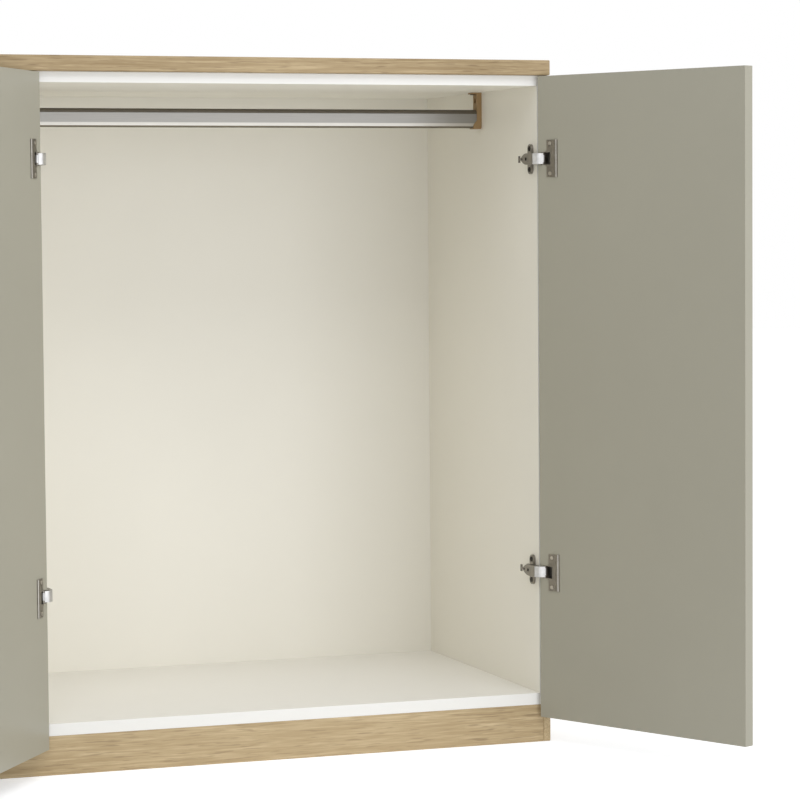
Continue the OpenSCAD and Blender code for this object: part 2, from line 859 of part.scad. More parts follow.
// A cup with its flange, drawn on the closed door with its middle at height 0. Its
// well takes the arm. A rounded rib runs along the far edge of the flange.
module hinge_cup() {
    face = -front_gap;
    top = face + cup_flange_thickness;
    h = cup_flange_height / 2;
    well = cup_well / 2;
    edge = door_overlay - flange_edge;
    shoulder = well + 3;
    difference() {
        union() {
            difference() {
                union() {
                    cup_space(face);
                    board([edge - flange_depth, face, -h], [edge, top, h]);
                    board([edge, face, -shoulder], [edge + 2, top, shoulder]);
                }
                intersection() {
                    bar_y(cup_u, 0, face - cup_hollow_depth, face + 3, cup_diameter / 2 - cup_wall);
                    board([edge - 7.5, face - cup_depth, -well], [edge + 20, face + 3, well]);
                }
            }
            intersection() {
                translate([edge - rib_distance, top - 2.2, -h]) cylinder(h = 2 * h, r = 3.4);
                board([edge - flange_depth, face, -h], [edge, top + 2, h]);
            }
            intersection() {
                cup_space(face);
                for (side = [0, 1])
                    mirror([0, 0, side])
                        translate([pin_b_closed[0], pin_b_closed[1], link_narrow_height / 2 + link_gap])
                        cylinder(h = 12, r = cup_ear_radius);
            }
        }
        for (side = [-1, 1]) {
            z = side * cup_screw_spacing / 2;
            bar_y(cup_screw_u, z, face - 1, face + 3, cup_screw_radius);
            bar_y(cup_screw_u, z, top - cup_screw_sink, face + 3, cup_screw_head_radius + 0.8);
        }
        translate([pin_b_closed[0], pin_b_closed[1], -8.8])
            cylinder(h = 17.6, r = pin_radius + pin_clearance);
    }
}

module hinge_cups_left() {
    color(nickel) for (z = hinge_heights)
        at_left() with_door(left_door_rest_angle) translate([0, 0, z]) hinge_cup();
}

module hinge_cups_right() {
    color(nickel) for (z = hinge_heights)
        at_right() with_door(right_door_rest_angle) translate([0, 0, z]) hinge_cup();
}

// The shank of a cup screw, or its bore, up to the given depth.
module cup_screw_shank(side, top) {
    z = side * cup_screw_spacing / 2;
    bar_y(cup_screw_u, z, -front_gap - cup_screw_length, top, cup_screw_radius);
}

// The two screws of a cup, with their heads sunk in the flange.
module cup_screw_pair() {
    u = cup_screw_u;
    y0 = -front_gap + cup_flange_thickness - cup_screw_sink;
    for (side = [-1, 1]) {
        z = side * cup_screw_spacing / 2;
        cup_screw_shank(side, y0);
        difference() {
            bar_y(u, z, y0, y0 + 1.2, cup_screw_head_radius);
            board([u - 1.8, y0 + 0.5, z - 0.45], [u + 1.8, y0 + 2, z + 0.45]);
            board([u - 0.45, y0 + 0.5, z - 1.8], [u + 0.45, y0 + 2, z + 1.8]);
        }
    }
}

module cup_screws_left() {
    color(zinc) for (z = hinge_heights)
        at_left() with_door(left_door_rest_angle) translate([0, 0, z]) cup_screw_pair();
}

module cup_screws_right() {
    color(zinc) for (z = hinge_heights)
        at_right() with_door(right_door_rest_angle) translate([0, 0, z]) cup_screw_pair();
}

// A door with the bores for its two cups, drawn closed.
module door() {
    face = -front_gap;
    difference() {
        board(
            [door_overlay - door_width, face - front_thickness, fronts_bottom],
            [door_overlay, face, fronts_top]);
        for (z = hinge_heights) {
            translate([0, 0, z]) cup_space(face + 1);
            for (side = [-1, 1])
                translate([0, 0, z]) cup_screw_shank(side, face + 1);
        }
    }
}

module door_left() {
    color(lacquer) at_left() with_door(left_door_rest_angle) door();
}

module door_right() {
    color(lacquer) at_right() with_door(right_door_rest_angle) door();
}

// Drawers are counted from the bottom.
function drawer_z(i) = fronts_bottom + i * drawer_pitch;
function drawer_box_z(i) = drawer_z(i) + drawer_box_lift;
function drawer_runner_height(i) = drawer_box_z(i) + drawer_box_height / 2;

module drawer_front(i) {
    m = drawer_front_margin;
    color(lacquer) board(
        [left_end + m, box_front_y - front_thickness, drawer_z(i)],
        [niche_left - m, box_front_y, drawer_z(i) + drawer_front_height]);
}

// The bottom of a drawer, and the groove that takes it.
module drawer_floor(i) {
    t = drawer_board_thickness;
    g = drawer_groove_depth;
    z = drawer_box_z(i) + drawer_bottom_lift;
    board(
        [box_left + t - g, box_front_y, z],
        [box_right - t + g, box_front_y + drawer_box_length, z + drawer_bottom_thickness]);
}

module drawer_sides(i) {
    t = drawer_board_thickness;
    z = drawer_box_z(i);
    color(drawer_wood) difference() {
        for (x = [box_left, box_right - t])
            board([x, box_front_y, z], [x + t, box_front_y + drawer_box_length, z + drawer_box_height]);
        drawer_floor(i);
    }
}

module drawer_back(i) {
    t = drawer_board_thickness;
    z = drawer_box_z(i);
    y1 = box_front_y + drawer_box_length;
    color(drawer_wood) board(
        [box_left + t, y1 - t, z + drawer_bottom_lift + drawer_bottom_thickness],
        [box_right - t, y1, z + drawer_box_height - 8]);
}

module drawer_bottom(i) {
    color(drawer_wood) drawer_floor(i);
}

// The runner member on the left of a drawer, from the box side outwards.
module drawer_slide(i) {
    m = runner_member / 2;
    s = runner_sheet;
    x0 = runner_sheet + 1.6;
    translate([drawer_left, 0, drawer_runner_height(i)]) {
        board([runner_space - s, runner_front_y, -m], [runner_space, runner_front_y + runner_length, m]);
        board([x0, runner_front_y, m - s], [runner_space, runner_front_y + runner_length, m]);
        board([x0, runner_front_y, -m], [runner_space, runner_front_y + runner_length, -m + s]);
    }
}

module mirror_in_drawer_bay() {
    children();
    translate([drawer_left + drawer_right, 0, 0]) mirror([1, 0, 0]) children();
}

module drawer_slides(i) {
    color(zinc) mirror_in_drawer_bay() drawer_slide(i);
}

// The runner members fixed to the walls of the drawer bay.
module case_runner(i) {
    h = runner_height / 2;
    s = runner_sheet;
    y1 = runner_front_y + runner_length;
    difference() {
        translate([drawer_left, 0, drawer_runner_height(i)]) {
            board([0, runner_front_y, -h], [s, y1, h]);
            board([0, runner_front_y, h - s], [runner_space - 1, y1, h]);
            board([0, runner_front_y, -h], [runner_space - 1, y1, -h + s]);
        }
        at_drawer_left() at_runner_screws() case_screw_hole();
    }
}

module case_runners() {
    color(zinc) for (i = [0:drawer_count - 1])
        mirror_in_drawer_bay() case_runner(i);
}

module drawer_1_front() { drawer_front(3); }
module drawer_1_sides() { drawer_sides(3); }
module drawer_1_back() { drawer_back(3); }
module drawer_1_bottom() { drawer_bottom(3); }
module drawer_1_slides() { drawer_slides(3); }
module drawer_2_front() { drawer_front(2); }
module drawer_2_sides() { drawer_sides(2); }
module drawer_2_back() { drawer_back(2); }
module drawer_2_bottom() { drawer_bottom(2); }
module drawer_2_slides() { drawer_slides(2); }
module drawer_3_front() { drawer_front(1); }
module drawer_3_sides() { drawer_sides(1); }
module drawer_3_back() { drawer_back(1); }
module drawer_3_bottom() { drawer_bottom(1); }
module drawer_3_slides() { drawer_slides(1); }
module drawer_4_front() { drawer_front(0); }
module drawer_4_sides() { drawer_sides(0); }
module drawer_4_back() { drawer_back(0); }
module drawer_4_bottom() { drawer_bottom(0); }
module drawer_4_slides() { drawer_slides(0); }

oak_top();
hanging_side_left();
hanging_side_right();
hanging_top();
hanging_floor();
hanging_back();
drawer_case_left();
drawer_case_right();
drawer_case_top();
drawer_case_floor();
drawer_case_back();
niche_top();
niche_floor();
niche_back();
niche_shelves();
plinth_front();
plinth_back();
plinth_end_left();
plinth_end_right();
plinth_braces();
hanging_rail();
rail_cap();
rail_brackets();
hinge_plates();
hinge_arms_left();
hinge_arms_right();
arm_screws();
case_runners();
case_screws();
top_screws();
door_left();
hinge_cups_left();
cup_screws_left();
hinge_links_left();
hinge_pins_left();
door_right();
hinge_cups_right();
cup_screws_right();
hinge_links_right();
hinge_pins_right();
drawer_1_front();
drawer_1_sides();
drawer_1_back();
drawer_1_bottom();
drawer_1_slides();
drawer_2_front();
drawer_2_sides();
drawer_2_back();
drawer_2_bottom();
drawer_2_slides();
drawer_3_front();
drawer_3_sides();
drawer_3_back();
drawer_3_bottom();
drawer_3_slides();
drawer_4_front();
drawer_4_sides();
drawer_4_back();
drawer_4_bottom();
drawer_4_slides();
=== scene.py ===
"""Looks of a low cabinet: a hanging bay with two open doors, a niche and four drawers."""

import json
import logging
import math
from dataclasses import dataclass
from enum import Enum
from typing import Callable, Sequence

import bpy
from mathutils import Matrix, Vector

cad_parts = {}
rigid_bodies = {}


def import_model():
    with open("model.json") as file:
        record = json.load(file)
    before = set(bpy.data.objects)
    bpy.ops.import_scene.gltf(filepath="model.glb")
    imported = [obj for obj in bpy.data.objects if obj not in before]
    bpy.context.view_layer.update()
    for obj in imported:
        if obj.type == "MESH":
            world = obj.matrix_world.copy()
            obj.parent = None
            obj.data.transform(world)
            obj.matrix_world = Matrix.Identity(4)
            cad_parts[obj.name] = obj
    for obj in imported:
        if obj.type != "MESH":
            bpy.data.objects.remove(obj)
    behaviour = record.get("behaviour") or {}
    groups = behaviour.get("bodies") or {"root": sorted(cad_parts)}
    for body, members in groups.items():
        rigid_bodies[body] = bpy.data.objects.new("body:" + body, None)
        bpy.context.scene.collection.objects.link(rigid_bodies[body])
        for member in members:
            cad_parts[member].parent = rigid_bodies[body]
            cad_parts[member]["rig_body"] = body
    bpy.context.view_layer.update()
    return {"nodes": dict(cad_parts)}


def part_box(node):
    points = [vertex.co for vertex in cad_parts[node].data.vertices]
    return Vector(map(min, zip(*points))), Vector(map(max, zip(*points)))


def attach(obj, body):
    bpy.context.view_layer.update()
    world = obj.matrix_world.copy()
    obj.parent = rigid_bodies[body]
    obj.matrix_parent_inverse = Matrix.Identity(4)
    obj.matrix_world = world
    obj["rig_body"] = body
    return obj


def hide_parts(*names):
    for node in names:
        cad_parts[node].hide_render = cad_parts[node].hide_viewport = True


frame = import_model()

logging.basicConfig(level=logging.INFO, format="%(message)s")
LOG = logging.getLogger("cabinet")

MM = 0.001
MM_PER_METRE = 1000.0
Pair = tuple[float, float]
Triple = tuple[float, float, float]
Colour = tuple[float, float, float, float]

# A pattern's values rarely leave this band, so what follows it is spread over the band.
NOISE_BAND: Pair = (0.3, 0.7)
# Vertices of a CAD node that lie closer than this are one corner.
CORNER_MM = 0.005
# Facets that meet flatter than this are one flat face.
FLAT_DEGREES = 0.4
# Faces of a board or of another copy that meet sharper than this keep an edge in the shading.
BOARD_EDGE_DEGREES = 50.0
COPY_EDGE_DEGREES = 40.0


class Grain(Enum):
    """The row axis that the wood's grain runs along."""

    ALONG_X = 0
    ALONG_Y = 1
    ALONG_Z = 2


class Side(Enum):
    """The side of the hanging bay that a door hangs on."""

    LEFT = "left"
    RIGHT = "right"

    @property
    def sign(self) -> float:
        """Which way the side panel lies, seen from inside the bay."""
        return 1.0 if self is Side.RIGHT else -1.0


def linear(hex_colour: str) -> Colour:
    """Turns an sRGB hex value into the linear colour that a shader takes.

    Args:
        hex_colour: Six hex digits, with or without a leading hash.

    Returns:
        Linear red, green and blue, and an alpha of 1.
    """
    digits = hex_colour.lstrip("#")
    parts = [int(digits[i : i + 2], 16) / 255 for i in (0, 2, 4)]
    values = [c / 12.92 if c <= 0.04045 else ((c + 0.055) / 1.055) ** 2.4 for c in parts]
    return (values[0], values[1], values[2], 1.0)


def toned(hex_colour: str, factor: float) -> Colour:
    """Gives an sRGB hex colour as a linear one, made darker or lighter by a factor."""
    red, green, blue = (min(1.0, part * factor) for part in linear(hex_colour)[:3])
    return (red, green, blue, 1.0)


def add_node(
    material: bpy.types.Material | bpy.types.World,
    kind: str,
    inputs: dict[int | str, object] | None = None,
    **settings: object,
) -> bpy.types.Node:
    """Adds one shader node with its settings, and fills or joins its inputs.

    Args:
        material: The material or world whose node tree gets the node.
        kind: Blender's name of the node type.
        inputs: By input socket, a fixed value or the output socket to join.
        **settings: Properties of the node itself.

    Returns:
        The new node.
    """
    tree = material.node_tree
    new = tree.nodes.new(kind)
    for name, value in settings.items():
        setattr(new, name, value)
    for socket, given in (inputs or {}).items():
        if isinstance(given, bpy.types.NodeSocket):
            tree.links.new(given, new.inputs[socket])
        else:
            new.inputs[socket].default_value = given
    return new


@dataclass(frozen=True)
class Pattern:
    """An uneven pattern, as large as the real one and drawn out along an axis if need be.

    The size is that of a patch with the gap beside it. Detail counts the finer layers,
    roughness is their strength, and distortion is how much the whole is stirred.
    """

    size_mm: float
    detail: float = 2.0
    roughness: float = 0.5
    distortion: float = 0.0
    stretch: Triple = (1.0, 1.0, 1.0)
    offset: Triple = (0.0, 0.0, 0.0)


class Surface:
    """A finish in the making: its shader, and the colour laid up so far."""

    def __init__(self, name: str, colour: str) -> None:
        """Starts a material with one plain colour.

        Args:
            name: The finish's name.
            colour: The plain colour as a hex value.
        """
        self.material = bpy.data.materials.new(name)
        self.material.use_nodes = True
        self.material.node_tree.nodes.clear()
        self.shader = add_node(self.material, "ShaderNodeBsdfPrincipled")
        self.tone: Colour | bpy.types.NodeSocket = linear(colour)
        add_node(
            self.material, "ShaderNodeOutputMaterial", {"Surface": self.shader.outputs[0]}
        )

    def points(self, stretch: Triple, offset: Triple = (0.0, 0.0, 0.0)) -> bpy.types.NodeSocket:
        """Gives the piece's own coordinates, stretched by axis and moved.

        Args:
            stretch: Factor along each axis.
            offset: Offset in metres, to show another part of a pattern.

        Returns:
            The socket with the coordinates.
        """
        own = add_node(self.material, "ShaderNodeTexCoord").outputs["Object"]
        inputs = {"Vector": own, "Scale": stretch, "Location": offset}
        return add_node(self.material, "ShaderNodeMapping", inputs).outputs[0]

    def draw(self, pattern: Pattern) -> bpy.types.NodeSocket:
        """Draws a pattern on the piece's own coordinates.

        Args:
            pattern: The pattern.

        Returns:
            The socket with values around 0.5.
        """
        inputs = {
            "Vector": self.points(pattern.stretch, pattern.offset),
            "Scale": MM_PER_METRE / pattern.size_mm,
            "Detail": pattern.detail,
            "Roughness": pattern.roughness,
            "Distortion": pattern.distortion,
        }
        return add_node(self.material, "ShaderNodeTexNoise", inputs).outputs["Fac"]

    def lay_over(
        self, guide: bpy.types.NodeSocket, start: Pair, end: Pair, colour: Colour
    ) -> None:
        """Lays a second colour over the first as far as a pattern or a height says.

        Args:
            guide: The pattern or the height.
            start: A value of the guide, and the second colour's share there.
            end: A higher value of the guide, and the share there.
            colour: The second colour.
        """
        share = add_node(
            self.material,
            "ShaderNodeMapRange",
            {0: guide, 1: start[0], 2: end[0], 3: start[1], 4: end[1]},
        )
        mixed = add_node(
            self.material,
            "ShaderNodeMix",
            {0: share.outputs[0], 6: self.tone, 7: colour},
            data_type="RGBA",
            clamp_factor=True,
        )
        self.tone = mixed.outputs[2]

    def finish(
        self,
        sheen: bpy.types.NodeSocket,
        roughness: Pair,
        reliefs: Sequence[tuple[bpy.types.NodeSocket, float]],
        fixed: dict[str, float],
    ) -> bpy.types.Material:
        """Joins colour, roughness and relief to the shader.

        Args:
            sheen: The pattern that the roughness follows.
            roughness: The roughness at the pattern's low and high end.
            reliefs: Height patterns from coarse to fine, each with its depth in millimetres.
            fixed: The shader's even values by socket.

        Returns:
            The finished material.
        """
        rough = add_node(
            self.material,
            "ShaderNodeMapRange",
            {0: sheen, 1: NOISE_BAND[0], 2: NOISE_BAND[1], 3: roughness[0], 4: roughness[1]},
        )
        normal: dict[int | str, object] = {}
        for height, depth_mm in reliefs:
            inputs = {"Height": height, "Strength": 1.0, "Distance": depth_mm * MM, **normal}
            normal = {"Normal": add_node(self.material, "ShaderNodeBump", inputs).outputs[0]}
        joined = {"Base Color": self.tone, "Roughness": rough.outputs[0], **normal}
        for socket, source in joined.items():
            self.material.node_tree.links.new(source, self.shader.inputs[socket])
        for socket, value in fixed.items():
            self.shader.inputs[socket].default_value = value
        return self.material


@dataclass(frozen=True)
class OakFinish:
    """Light oak boards, sanded and hard-wax oiled: open pores and a dry, matt sheen."""

    name: str
    grain: Grain
    base: str = "#BCA782"
    late_wood: str = "#937D5A"
    pore: str = "#705A3E"
    drift: str = "#C8B28D"
    offset: Triple = (0.0, 0.0, 0.0)
    # Growth rings are this wide. Real fibres and pores are a few tenths of a millimetre wide
    # and are drawn coarser, so that they show.
    streak_mm: float = 3.6
    fibre_mm: float = 1.4
    pore_gap_mm: float = 2.083
    drift_mm: float = 125.0
    streak_depth_mm: float = 0.03
    fibre_depth_mm: float = 0.05
    roughness: Pair = (0.5, 0.66)
    ior: float = 1.47
    specular: float = 0.35

    def along_grain(
        self,
        size_mm: float,
        stretch: float,
        detail: float = 2.0,
        roughness: float = 0.5,
        distortion: float = 0.0,
    ) -> Pattern:
        """Gives a pattern that is drawn out along the grain.

        Args:
            size_mm: Its size across the grain.
            stretch: Factor along the grain, where less than 1 makes it longer.
            detail: Number of finer layers.
            roughness: Strength of the finer layers.
            distortion: How much it is stirred.

        Returns:
            The pattern.
        """
        scale = [1.0, 1.0, 1.0]
        scale[self.grain.value] = stretch
        axes = (scale[0], scale[1], scale[2])
        return Pattern(size_mm, detail, roughness, distortion, axes, self.offset)

    def material(self) -> bpy.types.Material:
        """Builds the material.

        Returns:
            The oak material with its grain along the chosen axis.
        """
        board = Surface(self.name, self.base)
        # A quarter-cut oak board shows its growth rings as bands of uneven width.
        streaks = board.draw(
            self.along_grain(
                2 * self.streak_mm, stretch=0.055, detail=3.0, roughness=0.6, distortion=1.0
            )
        )
        late_wood = linear(self.late_wood)
        board.lay_over(streaks, start=(0.36, 0.0), end=(0.68, 0.85), colour=late_wood)
        # Between them run fibres, each a hair darker or lighter than the next.
        fibres = board.draw(
            self.along_grain(
                2 * self.fibre_mm, stretch=0.035, detail=3.0, roughness=0.7, distortion=0.4
            )
        )
        board.lay_over(fibres, start=(0.36, 0.0), end=(0.64, 0.95), colour=late_wood)
        # Cut-open pores show as short dark dashes.
        pores = board.draw(
            self.along_grain(self.pore_gap_mm, stretch=0.07, detail=1.0, roughness=0.4)
        )
        board.lay_over(pores, start=(0.60, 0.0), end=(0.73, 0.6), colour=linear(self.pore))
        # Over a decimetre or two the board drifts between a greyer and a yellower tone.
        broad = board.draw(self.along_grain(self.drift_mm, stretch=0.25))
        board.lay_over(broad, start=(0.4, 0.0), end=(0.65, 0.3), colour=linear(self.drift))
        return board.finish(
            fibres,
            self.roughness,
            ((streaks, self.streak_depth_mm), (fibres, self.fibre_depth_mm)),
            {"IOR": self.ior, "Specular IOR Level": self.specular},
        )


@dataclass(frozen=True)
class LacquerFinish:
    """Satin lacquer sprayed on board: an even colour, faint orange peel and a soft sheen."""

    name: str
    colour: str
    roughness: float
    specular: float = 0.5
    shift: float = 0.02
    peel_mm: float = 2.4
    peel_depth_mm: float = 0.004
    cloud_mm: float = 333.3
    roughness_spread: float = 0.03
    ior: float = 1.5

    def material(self) -> bpy.types.Material:
        """Builds the material.

        Returns:
            The lacquer material.
        """
        coat = Surface(self.name, self.colour)
        # The gun leaves a little more lacquer here and there, as broad, barely darker clouds.
        cloud = coat.draw(Pattern(self.cloud_mm, detail=3.0))
        darker = toned(self.colour, 1 - self.shift)
        coat.lay_over(cloud, start=(0.35, 0.0), end=(0.65, 1.0), colour=darker)
        peel = coat.draw(Pattern(self.peel_mm))
        return coat.finish(
            cloud,
            (self.roughness - self.roughness_spread, self.roughness + self.roughness_spread),
            ((peel, self.peel_depth_mm),),
            {"IOR": self.ior, "Specular IOR Level": self.specular},
        )


@dataclass(frozen=True)
class PlatedSteelFinish:
    """Pressed steel or zinc casting with an electroplated skin: fine grain, soft highlights."""

    name: str
    colour: str
    roughness: float
    smoother: float = 0.06
    rougher: float = 0.08
    # The plating's real grain is finer than a tenth of a millimetre and wouldn't show.
    grain_mm: float = 0.5
    grain_depth_mm: float = 0.003
    cloud_mm: float = 8.33
    dullness: float = 0.82

    def material(self) -> bpy.types.Material:
        """Builds the material.

        Returns:
            The metal material.
        """
        plate = Surface(self.name, self.colour)
        cloud = plate.draw(Pattern(self.cloud_mm))
        dull = toned(self.colour, self.dullness)
        plate.lay_over(cloud, start=(0.35, 0.0), end=(0.7, 1.0), colour=dull)
        grain = plate.draw(Pattern(self.grain_mm, roughness=0.6))
        return plate.finish(
            grain,
            (self.roughness - self.smoother, self.roughness + self.rougher),
            ((grain, self.grain_depth_mm),),
            {"Metallic": 1.0},
        )


@dataclass(frozen=True)
class DrawnAluminiumFinish:
    """Anodised drawn aluminium: grey satin with fine lines along the drawing direction."""

    name: str
    foot_height: float
    colour: str = "#8E8C88"
    # A painted highlight on the lower rounding, and painted shade on the underside below it.
    painted_highlight: str = "#BCB9B2"
    painted_underside_shade: str = "#7A7466"
    roughness: float = 0.36
    roughness_spread: float = 0.05
    metallic: float = 0.85
    # The die's real lines are about a tenth of a millimetre apart and are drawn coarser.
    line_gap_mm: float = 0.625
    line_depth_mm: float = 0.004
    line_stretch: float = 0.01
    line_shine: float = 1.15
    # Heights over the rail's foot: the top of the painted shade, then the ends and fade of the
    # painted highlight.
    shade_top_mm: float = 2.6
    highlight_low_mm: float = 3.4
    highlight_high_mm: float = 7.3
    highlight_fade_mm: float = 0.8

    def material(self) -> bpy.types.Material:
        """Builds the material.

        Returns:
            The anodised material, with its lines along X.
        """
        skin = Surface(self.name, self.colour)
        lines = skin.draw(
            Pattern(self.line_gap_mm, roughness=0.6, stretch=(self.line_stretch, 1.0, 1.0))
        )
        bright = toned(self.colour, self.line_shine)
        skin.lay_over(lines, start=(0.35, 0.0), end=(0.65, 1.0), colour=bright)
        # The section's lower rounding gets a band of painted highlight that fades out upwards,
        # with painted shade on the underside below it.
        in_mm = skin.points((MM_PER_METRE, MM_PER_METRE, MM_PER_METRE))
        height = add_node(skin.material, "ShaderNodeSeparateXYZ", {0: in_mm}).outputs["Z"]
        foot = self.foot_height / MM
        under, low = foot + self.shade_top_mm, foot + self.highlight_low_mm
        high = foot + self.highlight_high_mm
        edge = high + self.highlight_fade_mm
        skin.lay_over(height, start=(high, 1.0), end=(edge, 0.0), colour=linear(self.painted_highlight))
        skin.lay_over(height, start=(under, 1.0), end=(low, 0.0), colour=linear(self.painted_underside_shade))
        return skin.finish(
            lines,
            (self.roughness - self.roughness_spread, self.roughness + self.roughness_spread),
            ((lines, self.line_depth_mm),),
            {"Metallic": self.metallic},
        )


@dataclass(frozen=True)
class MouldedPlasticFinish:
    """Injection-moulded ABS with a fine spark-eroded grain: matt, with soft edges."""

    name: str
    colour: str
    roughness: float = 0.55
    roughness_spread: float = 0.05
    # The mould's real grain is about a tenth of a millimetre and is drawn coarser.
    grain_mm: float = 0.7
    grain_depth_mm: float = 0.01
    grain_shine: float = 1.2
    ior: float = 1.53

    def material(self) -> bpy.types.Material:
        """Builds the material.

        Returns:
            The plastic material.
        """
        skin = Surface(self.name, self.colour)
        grain = skin.draw(Pattern(self.grain_mm, roughness=0.6))
        lighter = toned(self.colour, self.grain_shine)
        skin.lay_over(grain, start=(0.4, 0.0), end=(0.7, 1.0), colour=lighter)
        return skin.finish(
            grain,
            (self.roughness - self.roughness_spread, self.roughness + self.roughness_spread),
            ((grain, self.grain_depth_mm),),
            {"IOR": self.ior},
        )


class Palette:
    """The finishes of the cabinet, built once and shared by its pieces."""

    def __init__(self) -> None:
        """Builds every material."""
        self.oak_top = OakFinish("oiled_oak_top", Grain.ALONG_X).material()
        self.oak_plinth = OakFinish(
            "oiled_oak_plinth", Grain.ALONG_X,
            base="#CFBA94", late_wood="#A68F69", pore="#7C6648", offset=(0.3, 0.2, 0.0),
        ).material()
        self.oak_end = OakFinish(
            "oiled_oak_plinth_end", Grain.ALONG_Y,
            base="#CFBA94", late_wood="#A9926B", pore="#7C6648", offset=(0.1, 0.5, 0.2),
        ).material()
        self.oak_niche = OakFinish(
            "oiled_oak_niche", Grain.ALONG_X, offset=(0.7, 0.1, 0.4)
        ).material()
        self.oak_niche_back = OakFinish(
            "oiled_oak_niche_back", Grain.ALONG_Z, offset=(0.2, 0.1, 0.4)
        ).material()
        self.birch = OakFinish(
            "lacquered_birch", Grain.ALONG_Y,
            base="#D9C49C", late_wood="#CBB387", pore="#B99F70", streak_mm=9.0,
        ).material()
        self.greige = LacquerFinish(
            "greige_satin_lacquer", "#A5A191", 0.32, specular=0.2, shift=0.04
        ).material()
        self.warm_white = LacquerFinish("warm_white_satin_lacquer", "#F0ECE0", 0.42).material()
        # The floor boards get a whiter, less yellow copy of the white lacquer, which paints in
        # the light that they catch.
        self.floor_white_painted_light = LacquerFinish("white_satin_lacquer_floor_painted_light", "#F1EEE6", 0.42).material()
        self.edge_white = LacquerFinish("white_edge_band", "#EEECE6", 0.4).material()
        self.satin_nickel = PlatedSteelFinish("satin_nickel_plate", "#948F87", 0.36).material()
        # Brighter plating on the hinge pins. It also paints a highlight on the rib of each cup.
        self.bright_nickel = PlatedSteelFinish("bright_nickel_plate_and_painted_highlight", "#AAA69E", 0.3).material()
        self.link_nickel = PlatedSteelFinish("brushed_nickel_link", "#D2D1CF", 0.5).material()
        self.zinc = PlatedSteelFinish("zinc_plate", "#A9ABAD", 0.32).material()
        self.screw_steel = PlatedSteelFinish("nickel_screw_steel", "#CFCAC2", 0.34).material()
        # Near-black steel paints the shade in the arms' openings and on the sunk screw heads.
        self.recess_shade_steel = PlatedSteelFinish("screw_steel_painted_recess_shade", "#45413C", 0.3).material()
        self.anodised = DrawnAluminiumFinish(
            "grey_anodised_aluminium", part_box("hanging_rail")[0].z
        ).material()
        # A dark brown strip on the rail's top paints the shaded ceiling that the rail's upper
        # rounding reflects.
        self.reflected_shade_strip = MouldedPlasticFinish("plastic_strip_painted_reflection", "#50483A").material()
        self.bracket = MouldedPlasticFinish("light_brown_moulded_plastic", "#967A52").material()


def deselect_all() -> None:
    """Leaves edit mode and deselects every object."""
    if bpy.context.mode != "OBJECT":
        bpy.ops.object.mode_set(mode="OBJECT")
    bpy.ops.object.select_all(action="DESELECT")


def make_active(piece: bpy.types.Object) -> None:
    """Selects one object and makes it the active one.

    Args:
        piece: The object.
    """
    deselect_all()
    piece.select_set(True)
    bpy.context.view_layer.objects.active = piece


def apply_modifier(piece: bpy.types.Object, kind: str, **settings: object) -> None:
    """Adds a modifier with its settings and applies it.

    Args:
        piece: The object to change.
        kind: Blender's name of the modifier type.
        **settings: Properties of the modifier.
    """
    make_active(piece)
    modifier = piece.modifiers.new(kind.lower(), kind)
    for name, value in settings.items():
        setattr(modifier, name, value)
    bpy.ops.object.modifier_apply(modifier=modifier.name)


def smooth_by_angle(piece: bpy.types.Object, degrees: float) -> None:
    """Shades a piece smooth where its faces meet at less than an angle."""
    make_active(piece)
    bpy.ops.object.shade_smooth_by_angle(angle=math.radians(degrees))


def flatten_faces(piece: bpy.types.Object) -> None:
    """Lets the large flat faces set the shading, so that a broken edge doesn't tint them."""
    apply_modifier(piece, "WEIGHTED_NORMAL", mode="FACE_AREA", weight=100, keep_sharp=True)


def give_faces(
    piece: bpy.types.Object,
    finish: bpy.types.Material,
    chosen: Callable[[bpy.types.MeshPolygon], bool],
) -> None:
    """Gives some faces of a dressed piece a second finish.

    Args:
        piece: The piece, with its first finish on.
        finish: The second finish.
        chosen: Says of a face whether it gets the second finish.
    """
    piece.data.materials.append(finish)
    for face in piece.data.polygons:
        if chosen(face):
            face.material_index = 1


def dress(piece: bpy.types.Object, material: bpy.types.Material) -> None:
    """Gives a piece one material."""
    piece.data.materials.clear()
    piece.data.materials.append(material)


def dress_node(name: str, material: bpy.types.Material) -> None:
    """Gives a CAD node that stays in view a better material.

    Args:
        name: The CAD node.
        material: Its finish.
    """
    node = frame["nodes"][name]
    for slot in node.material_slots:
        slot.material = material
    LOG.info("dressed %s", name)


def body_of_node(name: str) -> str:
    """Finds the body that a CAD node belongs to."""
    return frame["nodes"][name]["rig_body"]


def stands_for(piece: bpy.types.Object, node: str) -> None:
    """Makes a piece ride with a CAD node's body and stand for the node.

    Args:
        piece: The finished piece.
        node: The CAD node.
    """
    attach(piece, body_of_node(node))
    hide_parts(node)
    LOG.info("built %s", piece.name)


def eased_board(
    name: str, low: Vector, high: Vector, ease_mm: float, segments: int = 3
) -> bpy.types.Object:
    """Models a board as a cabinet maker cuts it, with all its edges broken.

    Args:
        name: Name of the piece.
        low: Lowest corner, in metres.
        high: Highest corner, in metres.
        ease_mm: Width taken off each edge.
        segments: Facets across an edge.

    Returns:
        The board, with its place in its mesh.
    """
    deselect_all()
    bpy.ops.mesh.primitive_cube_add(size=1.0, location=(0.0, 0.0, 0.0))
    piece = bpy.context.active_object
    piece.name = piece.data.name = name
    bpy.ops.object.mode_set(mode="EDIT")
    bpy.ops.mesh.select_all(action="SELECT")
    bpy.ops.transform.resize(value=tuple(high - low))
    bpy.ops.transform.translate(value=tuple((high + low) / 2))
    bpy.ops.mesh.bevel(offset=ease_mm * MM, segments=segments, profile=0.5, affect="EDGES")
    bpy.ops.object.mode_set(mode="OBJECT")
    smooth_by_angle(piece, BOARD_EDGE_DEGREES)
    flatten_faces(piece)
    return piece


